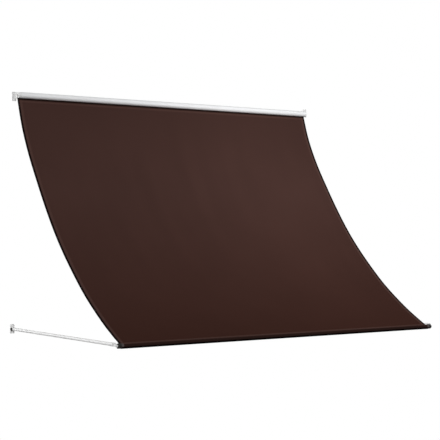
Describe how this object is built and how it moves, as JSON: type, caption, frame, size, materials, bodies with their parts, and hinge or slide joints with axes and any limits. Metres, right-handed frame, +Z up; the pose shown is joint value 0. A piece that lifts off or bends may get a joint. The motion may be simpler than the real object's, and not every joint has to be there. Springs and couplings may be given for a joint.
{
  "type": "window awning",
  "caption": "Drop-arm window awning: a dark cloth hangs in a deep curve from a spring roller on wall brackets to a front bar on two swinging arms.",
  "frame": {"origin": "on the wall plane, at half the width and at the height of the roller's axis", "axes": "+X along the roller to the right seen from in front, +Y into the wall, +Z up; the awning stands out of the wall along -Y"},
  "size_m": [2.5004, 1.3595, 1.595],
  "materials": {
    "white_extrusion": "white powder coat",
    "bracket_paint": "light grey satin paint",
    "arm_paint": "very light grey satin paint",
    "end_paint": "cast, light grey satin paint",
    "bar_metal": "mill finish",
    "zinc_steel": "zinc plated",
    "spring_steel": "oiled spring wire",
    "pale_plastic": "plain",
    "grey_plastic": "plain",
    "washer_plastic": "plain",
    "black_plastic": "slight sheen",
    "keder_plastic": "plain",
    "brown_cloth": "fine plain weave"
  },
  "bodies": {
    "wall_frame": {"top_bracket_left": "bracket_paint", "top_bracket_right": "bracket_paint", "roller_bush": "pale_plastic", "spring_axle": "zinc_steel", "spring_anchor": "grey_plastic", "roller_spring": "spring_steel", "low_bracket_left": "bracket_paint", "low_bracket_right": "bracket_paint", "pivot_bolt_left": "zinc_steel", "pivot_bolt_right": "zinc_steel", "pivot_nut_left": "zinc_steel", "pivot_nut_right": "zinc_steel", "pivot_cap_left": "black_plastic", "pivot_cap_right": "black_plastic", "friction_washer_inner_left": "washer_plastic", "friction_washer_inner_right": "washer_plastic", "friction_washer_outer_left": "washer_plastic", "friction_washer_outer_right": "washer_plastic", "cloth": "brown_cloth"},
    "roller": {"roller_tube": "white_extrusion", "keder_rod": "keder_plastic", "roller_plug_left": "grey_plastic", "roller_plug_right": "grey_plastic", "roller_pin": "zinc_steel"},
    "arms": {"arm_left": "arm_paint", "arm_right": "arm_paint", "arm_inner_end_left": "end_paint", "arm_inner_end_right": "end_paint", "arm_outer_end_left": "end_paint", "arm_outer_end_right": "end_paint", "front_bar": "bar_metal", "bar_cap_left": "black_plastic", "bar_cap_right": "black_plastic", "bar_bolt_left": "zinc_steel", "bar_bolt_right": "zinc_steel"}
  },
  "joints": [
    {"name": "arm_swing", "type": "hinge", "parent": "wall_frame", "child": "arms", "pos_m": [0, -0.022, -1.527], "axis": [-1, 0, 0], "range_deg": [0, 85], "deforming": ["cloth"]},
    {"name": "roller_turn", "type": "hinge", "parent": "wall_frame", "child": "roller", "pos_m": [0, -0.027, 0], "axis": [1, 0, 0], "range_deg": [0, 4325], "deforming": ["roller_spring"]}
  ],
  "couplings": [
    {"joint": "roller_turn", "follows": "arm_swing", "ratio": 50.824}
  ]
}
